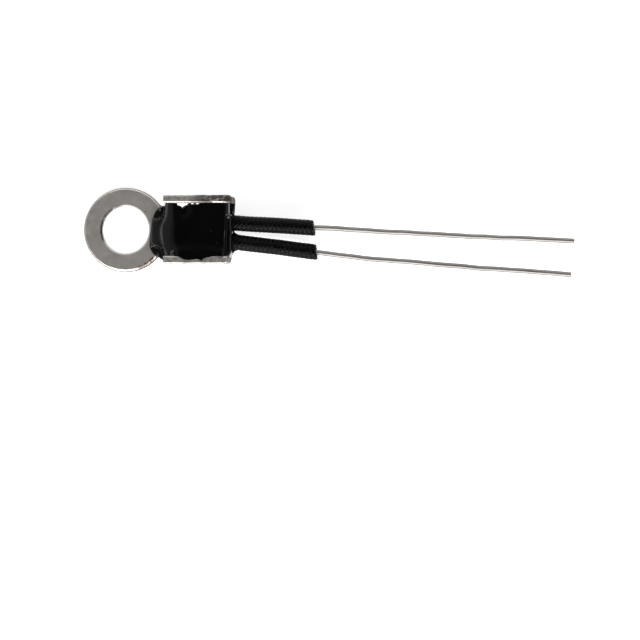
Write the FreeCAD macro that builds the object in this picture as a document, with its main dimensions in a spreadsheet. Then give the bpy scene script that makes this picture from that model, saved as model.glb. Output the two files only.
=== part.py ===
import FreeCAD, Part
import math
import os
import Sketcher

# Ring-lug temperature probe. The origin is the centre of the stud hole on the underside of the lug.
# +X runs along the leads, +Z points up and the left side of the probe is +Y. Lengths are in millimetres.

Vector = FreeCAD.Vector

SIZES = [
    ("sheet_thickness", 0.65, "plated strip that the lug is folded from"),
    ("hole_diameter", 3.7, "clearance hole for the mounting stud"),
    ("ring_diameter", 6.6, "outside of the ring"),
    ("neck_inset", 0.05, "each side of the neck, in from the end of the bend"),
    ("neck_length", 0.6, "straight side of the neck between the ring and the walls"),
    ("neck_fillet", 0.35, "inside corner where the neck leaves the ring"),
    ("housing_length", 5.36, "length of the side walls"),
    ("housing_width", 5.4, "across the outside of the side walls"),
    ("wall_height", 3.0, "underside of the lug to the top of the side walls"),
    ("bend_radius", 0.1, "inside radius of the two folds"),
    ("end_skew", 0.33, "how much shorter the right wall is than the left one"),
    ("rim_round", 0.2, "rounded upper edge of the ring"),
    ("hole_break", 0.12, "broken upper edge of the hole"),
    ("wall_round", 0.16, "rounded top edges of the side walls"),
    ("end_corner_round", 0.3, "rounded outer corners at the rear of the walls"),
    ("lead_diameter", 0.38, "tinned wire"),
    ("left_lead_reach", 26.705, "housing to the tip of the left lead"),
    ("right_lead_reach", 26.455, "housing to the tip of the right lead"),
    ("lead_tail", 0.1, "wire that passes the front of the chip"),
    ("lead_straight", 0.5, "straight wire behind the chip"),
    ("sleeve_lead_in", 0.25, "straight wire in front of the sleeve"),
    ("lead_bend_radius", 0.7, "tight bends inside the housing"),
    ("lead_set_radius", 15.0, "gentle bends outside the housing"),
    ("first_set_gap", 3.34, "end of the right sleeve to its lead's first gentle bend"),
    ("second_set", 15.905, "housing to the last bend of both leads"),
    ("left_sleeve_heading", -3.4, "degrees, left sleeve"),
    ("left_tip_heading", -2.5, "degrees, left lead at its tip"),
    ("right_sleeve_heading", -6.8, "degrees, right sleeve"),
    ("right_middle_heading", -5.4, "degrees, right lead between its gentle bends"),
    ("right_tip_heading", -4.6, "degrees, right lead at its tip"),
    ("sleeve_diameter", 1.27, "outside of the insulating sleeve"),
    ("sleeve_bore", 0.5, "bore of the sleeve"),
    ("sleeve_depth", 1.395, "sleeve buried in the compound"),
    ("left_sleeve_reach", 6.365, "housing to the free end of the left sleeve"),
    ("right_sleeve_reach", 6.565, "housing to the free end of the right sleeve"),
    ("sleeve_gap", 0.2, "between the sleeves where they leave the housing"),
    ("pair_offset", 0.25, "middle of the two sleeves there, right of the centre line"),
    ("sleeve_cut", 0.22, "slant of the free end of each sleeve"),
    ("chip_gap", 1.35, "rear of the chip to the buried ends of the sleeves"),
    ("chip_length", 0.8, "chip along the leads"),
    ("chip_height", 0.8, "chip upright"),
    ("chip_thickness", 0.5, "chip from face to face"),
    ("electrode_thickness", 0.03, "fired metal layer on each chip face"),
    ("solder_film", 0.02, "solder between wire and chip face"),
    ("solder_length", 0.7, "solder fillet along the wire"),
    ("solder_foot", 0.56, "solder fillet across the chip face"),
    ("bead_coat", 0.2, "coating around the chip and wires"),
    ("bead_overlap", 0.2, "coating past the tips of the wires"),
    ("bead_round", 0.5, "rounded long edges of the bead"),
    ("bead_end_taper", 0.3, "tapered ends of the bead"),
    ("bead_floor_gap", 0.03, "compound under the bead"),
    ("tongue_gap", 0.1, "bare metal between the hole and the compound"),
    ("tongue_lap", 0.05, "compound over each side of the neck"),
    ("tongue_depth", 0.712, "how far the front edge of the compound bows forward"),
    ("tongue_side", 0.3, "least straight side of the compound in front of the walls"),
    ("tongue_thickness", 0.35, "compound on the neck"),
    ("tongue_round", 0.24, "rounded front edge of the compound"),
    ("fill_drop", 0.25, "top of the walls down to the compound"),
    ("ramp_lead", 0.25, "foot of the front slope, ahead of the walls"),
    ("ramp_reach", 0.4, "head of the front slope, behind the front of the walls"),
    ("ramp_foot_round", 0.3, "hollow at the foot of the slope"),
    ("ramp_head_round", 1.0, "roll at the head of the slope"),
    ("rear_round", 0.5, "rolled rear edge of the compound"),
    ("corner_setback", 0.3, "bare floor at the left rear corner"),
    ("collar_length", 0.5, "compound drawn out along the right sleeve"),
    ("overflow_setback", 1.55, "front of the right wall to the compound spilt on it"),
    ("overflow_length", 1.8, "spilt compound along the wall"),
    ("overflow_width", 0.7, "spilt compound across the wall, from its inside face"),
    ("overflow_height", 0.12, "spilt compound above the wall"),
]

# Places that follow from the sizes above.
INNER_HALF = "(Sizes.housing_width / 2 - Sizes.sheet_thickness)"
NECK_WIDTH = "(2 * (" + INNER_HALF + " - Sizes.bend_radius - Sizes.neck_inset))"
NECK_ROOT = "sqrt((Sizes.ring_diameter / 2) ^ 2 - (" + NECK_WIDTH + " / 2) ^ 2)"
TONGUE_TIP = "(Sizes.hole_diameter / 2 + Sizes.tongue_gap)"
TONGUE_ROOT = "(" + TONGUE_TIP + " + Sizes.tongue_depth)"
HOUSING_START = (
    "max(" + NECK_ROOT + " + Sizes.neck_length; " + TONGUE_ROOT + " + Sizes.tongue_side)"
)
HOUSING_END = "(" + HOUSING_START + " + Sizes.housing_length)"
MIDDLE_END = "(" + HOUSING_END + " - Sizes.end_skew / 2)"
OUTER_BEND = "(Sizes.bend_radius + Sizes.sheet_thickness)"
FILL_LEVEL = "(Sizes.wall_height - Sizes.fill_drop)"
LEAD_OFFSET = (
    "(Sizes.chip_thickness / 2 + Sizes.electrode_thickness"
    " + Sizes.solder_film + Sizes.lead_diameter / 2)"
)
BEAD_HALF_HEIGHT = "(Sizes.chip_height / 2 + Sizes.bead_coat)"
LEAD_LEVEL = (
    "(Sizes.sheet_thickness + max(Sizes.sleeve_diameter / 2; "
    + BEAD_HALF_HEIGHT
    + " + Sizes.bead_floor_gap))"
)
SLEEVE_START = "(" + MIDDLE_END + " - Sizes.sleeve_depth)"
CHIP_REAR = "(" + SLEEVE_START + " - Sizes.chip_gap)"
CHIP_FRONT = "(" + CHIP_REAR + " - Sizes.chip_length)"
LEAD_START = "(" + CHIP_FRONT + " - Sizes.lead_tail)"
SLEEVE_PITCH = "(Sizes.sleeve_diameter + Sizes.sleeve_gap)"
EXIT = {
    "left": "(" + SLEEVE_PITCH + " / 2 - Sizes.pair_offset)",
    "right": "(-" + SLEEVE_PITCH + " / 2 - Sizes.pair_offset)",
}
SIDE_SIGN = {"left": "1", "right": "-1"}
FIRST_SET = "(" + MIDDLE_END + " + Sizes.right_sleeve_reach + Sizes.first_set_gap)"
SECOND_SET = "(" + MIDDLE_END + " + Sizes.second_set)"

doc = FreeCAD.newDocument("thermistor")
sheet = doc.addObject("Spreadsheet::Sheet", "Sizes")


def fill_sheet():
    for row, (alias, value, meaning) in enumerate(SIZES, start=1):
        sheet.set(f"A{row}", meaning)
        sheet.set(f"B{row}", str(value))
        sheet.setAlias(f"B{row}", alias)
    doc.recompute()


def number(expression):
    value = sheet.evalExpression(expression.replace("Sizes.", ""))
    return float(getattr(value, "Value", value))


def new_body(label):
    body = doc.addObject("PartDesign::Body", label)
    body.Label = label
    return body


def new_sketch(body, name, role, offset="0"):
    """A sketch on one of the body's own origin planes, moved along that plane's normal."""
    sketch = body.newObject("Sketcher::SketchObject", name)
    plane = next(part for part in body.Origin.OriginFeatures if part.Role == role)
    sketch.AttachmentSupport = [(plane, "")]
    sketch.MapMode = "FlatFace"
    sketch.setExpression("AttachmentOffset.Base.z", offset)
    return sketch


def bind(sketch, kind, *targets, to):
    """Adds a sketch dimension whose value follows an expression of the sheet."""
    index = sketch.addConstraint(Sketcher.Constraint(kind, *targets, number(to)))
    sketch.renameConstraint(index, f"size_{index}")
    sketch.setExpression(f"Constraints.size_{index}", to)


def bind_point(sketch, geometry, point, across, up):
    bind(sketch, "DistanceX", -1, 1, geometry, point, to=across)
    bind(sketch, "DistanceY", -1, 1, geometry, point, to=up)


def bound_polygon(sketch, corners):
    """A closed outline of straight lines with every corner bound to the sheet."""
    points = [Vector(number(across), number(up), 0) for across, up in corners]
    lines = [
        sketch.addGeometry(Part.LineSegment(start, end), False)
        for start, end in zip(points, points[1:] + points[:1])
    ]
    for line, following in zip(lines, lines[1:] + lines[:1]):
        sketch.addConstraint(Sketcher.Constraint("Coincident", line, 2, following, 1))
    for line, (across, up) in zip(lines, corners):
        bind_point(sketch, line, 1, across, up)
    return lines


def bound_circle(sketch, diameter, across="0", up="0"):
    centre = Vector(number(across), number(up), 0)
    circle = sketch.addGeometry(Part.Circle(centre, Vector(0, 0, 1), number(diameter) / 2), False)
    bind(sketch, "Diameter", circle, to=diameter)
    bind_point(sketch, circle, 3, across, up)
    return circle


def pad(body, name, sketch, length, both_ways=False):
    feature = body.newObject("PartDesign::Pad", name)
    feature.Profile = sketch
    feature.Midplane = both_ways
    feature.setExpression("Length", length)
    doc.recompute()
    return feature


def pocket_through(body, name, sketch):
    feature = body.newObject("PartDesign::Pocket", name)
    feature.Profile = sketch
    feature.Type = "ThroughAll"
    feature.Midplane = True
    doc.recompute()
    return feature


def dress_edges(kind, size_name, body, name, base, wanted, size):
    """Fillets or chamfers the edges of the body's last feature that the test picks by their place."""
    edges = [
        f"Edge{index}"
        for index, edge in enumerate(base.Shape.Edges, start=1)
        if wanted(edge.CenterOfMass, edge.BoundBox, edge)
    ]
    feature = body.newObject(kind, name)
    feature.Base = (base, edges)
    feature.setExpression(size_name, size)
    doc.recompute()
    return feature


def fillet(*request):
    return dress_edges("PartDesign::Fillet", "Radius", *request)


def chamfer(*request):
    return dress_edges("PartDesign::Chamfer", "Size", *request)


def near(value, target):
    return abs(value - target) < 1e-4


def cut(label, base, *tools):
    """The base less every tool, as one boolean object."""
    tool = tools[0]
    if len(tools) > 1:
        tool = doc.addObject("Part::MultiFuse", label + "_room")
        tool.Shapes = list(tools)
    feature = doc.addObject("Part::Cut", label)
    feature.Label = label
    feature.Base = base
    feature.Tool = tool
    doc.recompute()
    return feature


def sleeve_line(side, along):
    """Where the axis of a sleeve is across the probe, at a distance along it."""
    return f"({EXIT[side]} + ({along} - {MIDDLE_END}) * tan(Sizes.{side}_sleeve_heading))"


def make_lug():
    """Ring, neck and channel, punched and folded from one strip."""
    body = new_body("ring_lug")
    thickness = number("Sizes.sheet_thickness")
    top = number("Sizes.wall_height")
    half = number("Sizes.housing_width") / 2
    neck_half = number(NECK_WIDTH) / 2
    ring_radius = number("Sizes.ring_diameter") / 2

    ring_sketch = new_sketch(body, "ring_outline", "XY_Plane")
    bound_circle(ring_sketch, "Sizes.ring_diameter")
    pad(body, "ring", ring_sketch, "Sizes.sheet_thickness")

    neck_sketch = new_sketch(body, "neck_outline", "XY_Plane")
    neck_front = "Sizes.hole_diameter / 2"
    neck_side = NECK_WIDTH + " / 2"
    bound_polygon(
        neck_sketch,
        [
            (neck_front, f"-{neck_side}"),
            (HOUSING_START, f"-{neck_side}"),
            (HOUSING_START, neck_side),
            (neck_front, neck_side),
        ],
    )
    neck = pad(body, "neck", neck_sketch, "Sizes.sheet_thickness")

    def ring_to_neck(centre, box, edge):
        upright = near(box.ZLength, thickness)
        on_ring = near(math.hypot(centre.x, centre.y), ring_radius)
        return upright and on_ring and near(abs(centre.y), neck_half)

    fillet(body, "neck_corners", neck, ring_to_neck, "Sizes.neck_fillet")

    channel_sketch = new_sketch(body, "channel_section", "YZ_Plane", HOUSING_START)
    draw_channel_section(channel_sketch)
    channel = pad(body, "channel", channel_sketch, "Sizes.housing_length + Sizes.end_skew")

    skew_sketch = new_sketch(body, "skewed_end", "XY_Plane")
    past_end = HOUSING_END + " + Sizes.end_skew * 2"
    bound_polygon(
        skew_sketch,
        [
            (HOUSING_END + " + Sizes.end_skew / 2", "Sizes.housing_width"),
            (HOUSING_END + " - Sizes.end_skew * 1.5", "-Sizes.housing_width"),
            (past_end, "-Sizes.housing_width"),
            (past_end, "Sizes.housing_width"),
        ],
    )
    skewed = pocket_through(body, "end_trim", skew_sketch)

    hole_sketch = new_sketch(body, "hole_outline", "XY_Plane")
    bound_circle(hole_sketch, "Sizes.hole_diameter")
    pierced = pocket_through(body, "stud_hole", hole_sketch)

    rear = number(HOUSING_END) - number("Sizes.end_skew") - thickness

    def rear_corner(centre, box, edge):
        upright = near(box.XLength, 0) and near(box.YLength, 0) and box.ZLength > thickness
        return upright and centre.x > rear and near(abs(centre.y), half)

    cornered = fillet(body, "rear_corners", pierced, rear_corner, "Sizes.end_corner_round")

    def wall_top(centre, box, edge):
        return near(box.ZMin, top) and near(box.ZMax, top) and box.XLength > thickness

    topped = fillet(body, "wall_tops", cornered, wall_top, "Sizes.wall_round")

    def ring_rim(centre, box, edge):
        level = near(box.ZMin, thickness) and near(box.ZMax, thickness)
        return level and near(box.XMin, -ring_radius)

    rimmed = fillet(body, "ring_rim", topped, ring_rim, "Sizes.rim_round")

    def hole_rim(centre, box, edge):
        level = near(box.ZMin, thickness) and near(box.ZMax, thickness)
        return level and near(box.XLength, number("Sizes.hole_diameter"))

    chamfer(body, "hole_rim", rimmed, hole_rim, "Sizes.hole_break")
    return body


def draw_channel_section(sketch):
    """The U of the folded strip: two upright walls, two bends and a flat floor."""
    half = number("Sizes.housing_width / 2")
    inner = number(INNER_HALF)
    top = number("Sizes.wall_height")
    thickness = number("Sizes.sheet_thickness")
    outer_radius = number(OUTER_BEND)
    inner_radius = number("Sizes.bend_radius")
    flat = half - outer_radius
    axis = Vector(0, 0, 1)

    def line(start, end):
        return sketch.addGeometry(Part.LineSegment(Vector(*start, 0), Vector(*end, 0)), False)

    def bend(across, radius, start, end):
        circle = Part.Circle(Vector(across, outer_radius, 0), axis, radius)
        return sketch.addGeometry(
            Part.ArcOfCircle(circle, math.radians(start), math.radians(end)), False
        )

    under = line((-flat, 0), (flat, 0))
    right_bend = bend(flat, outer_radius, 270, 360)
    right_outside = line((half, outer_radius), (half, top))
    right_top = line((half, top), (inner, top))
    right_inside = line((inner, top), (inner, outer_radius))
    right_corner = bend(flat, inner_radius, 270, 360)
    floor = line((flat, thickness), (-flat, thickness))
    left_corner = bend(-flat, inner_radius, 180, 270)
    left_inside = line((-inner, outer_radius), (-inner, top))
    left_top = line((-inner, top), (-half, top))
    left_outside = line((-half, top), (-half, outer_radius))
    left_bend = bend(-flat, outer_radius, 180, 270)

    def tangent(first, first_end, second, second_end):
        sketch.addConstraint(
            Sketcher.Constraint("Tangent", first, first_end, second, second_end)
        )

    def joined(first, second):
        sketch.addConstraint(Sketcher.Constraint("Coincident", first, 2, second, 1))

    tangent(under, 2, right_bend, 1)
    tangent(right_bend, 2, right_outside, 1)
    joined(right_outside, right_top)
    joined(right_top, right_inside)
    tangent(right_inside, 2, right_corner, 2)
    tangent(right_corner, 1, floor, 1)
    tangent(floor, 2, left_corner, 2)
    tangent(left_corner, 1, left_inside, 1)
    joined(left_inside, left_top)
    joined(left_top, left_outside)
    tangent(left_outside, 2, left_bend, 1)
    tangent(left_bend, 2, under, 1)
    for level in (under, right_top, left_top):
        sketch.addConstraint(Sketcher.Constraint("Horizontal", level))
    for upright in (right_outside, right_inside, left_outside, left_inside):
        sketch.addConstraint(Sketcher.Constraint("Vertical", upright))
    for inside, outside in ((right_corner, right_bend), (left_corner, left_bend)):
        sketch.addConstraint(Sketcher.Constraint("Coincident", inside, 3, outside, 3))
    bind(sketch, "DistanceY", -1, 1, under, 1, to="0")
    bind_point(sketch, right_outside, 2, "Sizes.housing_width / 2", "Sizes.wall_height")
    bind_point(sketch, left_outside, 1, "-Sizes.housing_width / 2", "Sizes.wall_height")
    bind(sketch, "Radius", right_bend, to=OUTER_BEND)
    bind(sketch, "Radius", left_bend, to=OUTER_BEND)
    bind(sketch, "Radius", right_corner, to="Sizes.bend_radius")
    bind(sketch, "Radius", left_corner, to="Sizes.bend_radius")


def draw_bent_wire(sketch, corners, radii):
    """Straight runs joined by tangent arcs, one arc at each inner corner of the route."""
    route = [Vector(number(along), number(across), 0) for along, across in corners]
    run_starts = [route[0]]
    run_ends = []
    arcs = []
    for before, corner, after, radius in zip(route, route[1:], route[2:], radii):
        arriving = (corner - before).normalize()
        leaving = (after - corner).normalize()
        turn = arriving.getAngle(leaving)
        turns_left = arriving.cross(leaving).z > 0
        reach = number(radius) * math.tan(turn / 2)
        first = corner - arriving * reach
        last = corner + leaving * reach
        inward = (leaving - arriving).normalize()
        centre = corner + inward * (number(radius) / math.cos(turn / 2))
        ends = (first, last) if turns_left else (last, first)
        angles = [math.atan2((end - centre).y, (end - centre).x) for end in ends]
        circle = Part.Circle(centre, Vector(0, 0, 1), number(radius))
        arcs.append((Part.ArcOfCircle(circle, *angles), turns_left))
        run_ends.append(first)
        run_starts.append(last)
    run_ends.append(route[-1])

    runs = [
        sketch.addGeometry(Part.LineSegment(start, end), False)
        for start, end in zip(run_starts, run_ends)
    ]
    bends = [sketch.addGeometry(arc, False) for arc, turns_left in arcs]
    points = [sketch.addGeometry(Part.Point(corner), True) for corner in route]
    for index, (bend, radius) in enumerate(zip(bends, radii)):
        enter, leave = (1, 2) if arcs[index][1] else (2, 1)
        before, after, corner = runs[index], runs[index + 1], points[index + 1]
        sketch.addConstraint(Sketcher.Constraint("Tangent", before, 2, bend, enter))
        sketch.addConstraint(Sketcher.Constraint("Tangent", bend, leave, after, 1))
        sketch.addConstraint(Sketcher.Constraint("PointOnObject", corner, 1, before))
        sketch.addConstraint(Sketcher.Constraint("PointOnObject", corner, 1, after))
        bind(sketch, "Radius", bend, to=radius)
    sketch.addConstraint(Sketcher.Constraint("Coincident", points[0], 1, runs[0], 1))
    sketch.addConstraint(Sketcher.Constraint("Coincident", points[-1], 1, runs[-1], 2))
    for point, (along, across) in zip(points, corners):
        bind_point(sketch, point, 1, along, across)


def make_lead(side):
    """Round tinned wire: past the chip, out to the sleeve's axis, then to its tip."""
    body = new_body(f"lead_{side}")
    offset = f"{SIDE_SIGN[side]} * {LEAD_OFFSET}"
    jog = f"({CHIP_REAR} + Sizes.lead_straight)"
    entry = f"({SLEEVE_START} - Sizes.sleeve_lead_in)"
    corners = [(LEAD_START, offset), (jog, offset), (entry, sleeve_line(side, entry))]
    second_across = sleeve_line(side, SECOND_SET)
    if side == "right":
        first_across = sleeve_line(side, FIRST_SET)
        second_across = (
            f"({first_across} + ({SECOND_SET} - {FIRST_SET})"
            " * tan(Sizes.right_middle_heading))"
        )
        corners.append((FIRST_SET, first_across))
    tip = f"({MIDDLE_END} + Sizes.{side}_lead_reach)"
    tip_across = f"({second_across} + ({tip} - {SECOND_SET}) * tan(Sizes.{side}_tip_heading))"
    corners += [(SECOND_SET, second_across), (tip, tip_across)]
    tight_bends = 2
    gentle_bends = len(corners) - 2 - tight_bends
    radii = ["Sizes.lead_bend_radius"] * tight_bends + ["Sizes.lead_set_radius"] * gentle_bends

    route = new_sketch(body, f"{side}_route", "XY_Plane", LEAD_LEVEL)
    draw_bent_wire(route, corners, radii)
    section = new_sketch(body, f"{side}_wire_section", "YZ_Plane", LEAD_START)
    bound_circle(section, "Sizes.lead_diameter", offset, LEAD_LEVEL)
    doc.recompute()
    wire = body.newObject("PartDesign::AdditivePipe", f"{side}_wire")
    wire.Profile = section
    wire.Spine = (route, [f"Edge{index + 1}" for index in range(len(route.Shape.Edges))])
    doc.recompute()
    return body


def lay_on_sleeve_axis(thing, side, along):
    """Turns a piece drawn about the X axis onto the axis of a sleeve."""
    thing.Placement = FreeCAD.Placement(Vector(0, 0, 0), FreeCAD.Rotation(Vector(0, 0, 1), 1))
    thing.setExpression("Placement.Base.x", along)
    thing.setExpression("Placement.Base.y", sleeve_line(side, along))
    thing.setExpression("Placement.Base.z", LEAD_LEVEL)
    thing.setExpression("Placement.Rotation.Angle", f"Sizes.{side}_sleeve_heading")


def sleeve_length(side):
    reach = f"(Sizes.sleeve_depth + Sizes.{side}_sleeve_reach)"
    return f"({reach} / cos(Sizes.{side}_sleeve_heading))"


def make_sleeve(side):
    """Soft tube over the wire, its free end snipped at a slant."""
    body = new_body(f"sleeve_{side}")
    section = new_sketch(body, f"{side}_sleeve_section", "YZ_Plane")
    bound_circle(section, "Sizes.sleeve_diameter")
    bound_circle(section, "Sizes.sleeve_bore")
    pad(body, f"{side}_tube", section, sleeve_length(side))
    snip = new_sketch(body, f"{side}_snip", "XY_Plane")
    edge = "Sizes.sleeve_diameter / 2"
    bound_polygon(
        snip,
        [
            (sleeve_length(side), f"-{edge}"),
            (sleeve_length(side), edge),
            (f"{sleeve_length(side)} - Sizes.sleeve_cut", edge),
        ],
    )
    pocket_through(body, f"{side}_cut_end", snip)
    lay_on_sleeve_axis(body, side, SLEEVE_START)
    return body


def make_sleeve_room(side):
    """The solid cylinder that a sleeve takes up in the compound."""
    room = doc.addObject("Part::Cylinder", f"{side}_sleeve_room")
    room.setExpression("Radius", "Sizes.sleeve_diameter / 2")
    room.setExpression("Height", sleeve_length(side))
    room.Placement = FreeCAD.Placement(Vector(0, 0, 0), FreeCAD.Rotation(0, 90, 0))
    room.setExpression("Placement.Base.x", SLEEVE_START)
    room.setExpression("Placement.Base.y", sleeve_line(side, SLEEVE_START))
    room.setExpression("Placement.Base.z", LEAD_LEVEL)
    doc.recompute()
    heading = number(f"Sizes.{side}_sleeve_heading")
    turned = FreeCAD.Rotation(Vector(0, 0, 1), heading).multiply(FreeCAD.Rotation(0, 90, 0))
    room.Placement.Rotation = turned
    doc.recompute()
    return room


def make_block(label, length, width, height, front, right, bottom):
    block = doc.addObject("Part::Box", label)
    block.Label = label
    block.setExpression("Length", length)
    block.setExpression("Width", width)
    block.setExpression("Height", height)
    block.setExpression("Placement.Base.x", front)
    block.setExpression("Placement.Base.y", right)
    block.setExpression("Placement.Base.z", bottom)
    return block


def make_chip():
    bottom = LEAD_LEVEL + " - Sizes.chip_height / 2"
    half = "Sizes.chip_thickness / 2"
    face = ("Sizes.chip_length", "Sizes.electrode_thickness", "Sizes.chip_height")
    chip = make_block(
        "thermistor_chip",
        "Sizes.chip_length",
        "Sizes.chip_thickness",
        "Sizes.chip_height",
        CHIP_FRONT,
        f"-{half}",
        bottom,
    )
    left = make_block("electrode_left", *face, CHIP_FRONT, half, bottom)
    right_face = f"-{half} - Sizes.electrode_thickness"
    right = make_block("electrode_right", *face, CHIP_FRONT, right_face, bottom)
    return chip, left, right


def make_solder(side, lead):
    """A fillet of solder that holds the wire to the face of the chip."""
    blank = new_body(f"{side}_solder_blank")
    start = f"({CHIP_FRONT} + (Sizes.chip_length - Sizes.solder_length) / 2)"
    sketch = new_sketch(blank, f"{side}_solder_section", "YZ_Plane", start)
    sign = SIDE_SIGN[side]
    foot = f"{sign} * (Sizes.chip_thickness / 2 + Sizes.electrode_thickness)"
    crest = f"{sign} * ({LEAD_OFFSET} + Sizes.lead_diameter * 0.15)"
    shoulder = "(Sizes.lead_diameter * 0.45)"
    bound_polygon(
        sketch,
        [
            (foot, f"{LEAD_LEVEL} - Sizes.solder_foot / 2"),
            (crest, f"{LEAD_LEVEL} - {shoulder}"),
            (crest, f"{LEAD_LEVEL} + {shoulder}"),
            (foot, f"{LEAD_LEVEL} + Sizes.solder_foot / 2"),
        ],
    )
    pad(blank, f"{side}_solder_bar", sketch, "Sizes.solder_length")
    return cut(f"solder_{side}", blank, lead)


def make_bead_blank():
    """The dipped bead as a whole: a flat pebble with rounded sides and tapered ends."""
    body = new_body("bead_blank")
    front = f"({LEAD_START} - Sizes.bead_overlap)"
    rear = f"({CHIP_REAR} + Sizes.lead_tail + Sizes.bead_overlap)"
    side = f"({LEAD_OFFSET} + Sizes.lead_diameter / 2 + Sizes.bead_coat)"
    plan = new_sketch(body, "bead_outline", "XY_Plane", f"{LEAD_LEVEL} - {BEAD_HALF_HEIGHT}")
    bound_polygon(plan, [(front, f"-{side}"), (rear, f"-{side}"), (rear, side), (front, side)])
    pebble = pad(body, "bead_pebble", plan, f"2 * {BEAD_HALF_HEIGHT}")

    def lengthwise(centre, box, edge):
        return box.XLength > box.YLength + box.ZLength

    softened = fillet(body, "bead_long_edges", pebble, lengthwise, "Sizes.bead_round")
    ends = (softened.Shape.BoundBox.XMin, softened.Shape.BoundBox.XMax)

    def at_an_end(centre, box, edge):
        return near(box.XLength, 0) and any(near(centre.x, end) for end in ends)

    chamfer(body, "bead_ends", softened, at_an_end, "Sizes.bead_end_taper")
    return body


def make_fill():
    """The poured compound before the metal, bead, wires and sleeves are taken out of it."""
    body = new_body("compound_blank")
    tongue_side = f"({NECK_WIDTH} / 2 + Sizes.tongue_lap)"
    lapped = f"({INNER_HALF} + Sizes.sheet_thickness / 3)"
    left_sleeve_side = f"({EXIT['left']} + Sizes.sleeve_diameter / 2)"
    wall_rear = f"({HOUSING_END} - Sizes.end_skew * 1.2)"

    plan = new_sketch(body, "pour_outline", "XY_Plane", "Sizes.sheet_thickness / 2")
    outline = [
        (TONGUE_ROOT, tongue_side),
        (TONGUE_ROOT, f"-{tongue_side}"),
        (HOUSING_START, f"-{tongue_side}"),
        (HOUSING_START, f"-{lapped}"),
        (wall_rear, f"-{lapped}"),
        (wall_rear, f"-{INNER_HALF}"),
        (MIDDLE_END, f"-{INNER_HALF}"),
        (MIDDLE_END, left_sleeve_side),
        (f"{MIDDLE_END} - Sizes.corner_setback", lapped),
        (HOUSING_START, lapped),
        (HOUSING_START, tongue_side),
    ]
    draw_pour_outline(plan, outline)
    pad(body, "pour", plan, f"{FILL_LEVEL} - Sizes.sheet_thickness / 2")

    plateau = "(Sizes.sheet_thickness + Sizes.tongue_thickness)"
    ramp_foot = f"({HOUSING_START} - Sizes.ramp_lead)"
    ramp_head = f"({HOUSING_START} + Sizes.ramp_reach)"
    above = "Sizes.wall_height * 1.5"
    air = new_sketch(body, "open_air", "XZ_Plane")
    bound_polygon(
        air,
        [
            ("0", plateau),
            (ramp_foot, plateau),
            (ramp_head, FILL_LEVEL),
            (ramp_head, above),
            ("0", above),
        ],
    )
    open_front = pocket_through(body, "air_over_tongue", air)

    foot = Vector(number(ramp_foot), 0, number(plateau))
    head = Vector(number(ramp_head), 0, number(FILL_LEVEL))

    def across_at(place):
        def test(centre, box, edge):
            across = box.YLength > box.XLength + box.ZLength
            return across and near(centre.x, place.x) and near(centre.z, place.z)

        return test

    softened = fillet(body, "ramp_foot", open_front, across_at(foot), "Sizes.ramp_foot_round")
    rolled = fillet(body, "ramp_head", softened, across_at(head), "Sizes.ramp_head_round")
    rear = number(MIDDLE_END)
    level = number(FILL_LEVEL)

    def rear_edge(centre, box, edge):
        high = near(box.ZMin, level) and near(box.ZMax, level)
        return high and box.XMin > rear - number("Sizes.corner_setback") - 1e-4

    dropped = fillet(body, "rear_roll", rolled, rear_edge, "Sizes.rear_round")
    nose = number(plateau)

    def nose_edge(centre, box, edge):
        high = near(box.ZMin, nose) and near(box.ZMax, nose)
        return high and edge.Curve.TypeId == "Part::GeomCircle"

    fillet(body, "tongue_nose", dropped, nose_edge, "Sizes.tongue_round")
    return body


def draw_pour_outline(sketch, corners):
    """The compound seen from above: an arc over the ring, then the neck and the channel."""
    points = [Vector(number(across), number(up), 0) for across, up in corners]
    first, second = points[0], points[1]
    front = number(TONGUE_TIP)
    half_chord = first.y
    depth = first.x - front
    radius = (half_chord**2 + depth**2) / (2 * depth)
    centre = Vector(front + radius, 0, 0)
    angles = [math.atan2((end - centre).y, (end - centre).x) for end in (first, second)]
    circle = Part.Circle(centre, Vector(0, 0, 1), radius)
    arc = sketch.addGeometry(Part.ArcOfCircle(circle, *angles), False)
    lines = [
        sketch.addGeometry(Part.LineSegment(start, end), False)
        for start, end in zip(points[1:], points[2:] + points[:1])
    ]
    chain = [arc] + lines
    for piece, following in zip(chain, chain[1:] + chain[:1]):
        sketch.addConstraint(Sketcher.Constraint("Coincident", piece, 2, following, 1))
    for piece, (across, up) in zip(chain, corners):
        bind_point(sketch, piece, 1, across, up)
    front_point = sketch.addGeometry(Part.Point(Vector(front, 0, 0)), True)
    sketch.addConstraint(Sketcher.Constraint("PointOnObject", front_point, 1, arc))
    bind_point(sketch, front_point, 1, TONGUE_TIP, "0")


def make_collar():
    """Compound drawn out along the right sleeve, tapered down to it."""
    body = new_body("collar_blank")
    section = new_sketch(body, "collar_section", "XY_Plane")
    thick = "Sizes.sleeve_diameter / 2 + Sizes.collar_length"
    bound_polygon(
        section,
        [
            ("-Sizes.collar_length", "0"),
            ("Sizes.collar_length", "0"),
            ("Sizes.collar_length", "Sizes.sleeve_diameter / 2"),
            ("Sizes.collar_length / 4", "Sizes.sleeve_diameter / 2 + Sizes.collar_length / 4"),
            ("0", thick),
            ("-Sizes.collar_length", thick),
        ],
    )
    turned = body.newObject("PartDesign::Revolution", "collar_turn")
    turned.Profile = section
    turned.ReferenceAxis = (section, ["H_Axis"])
    turned.Angle = 360
    doc.recompute()
    lay_on_sleeve_axis(body, "right", MIDDLE_END)
    return body


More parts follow.
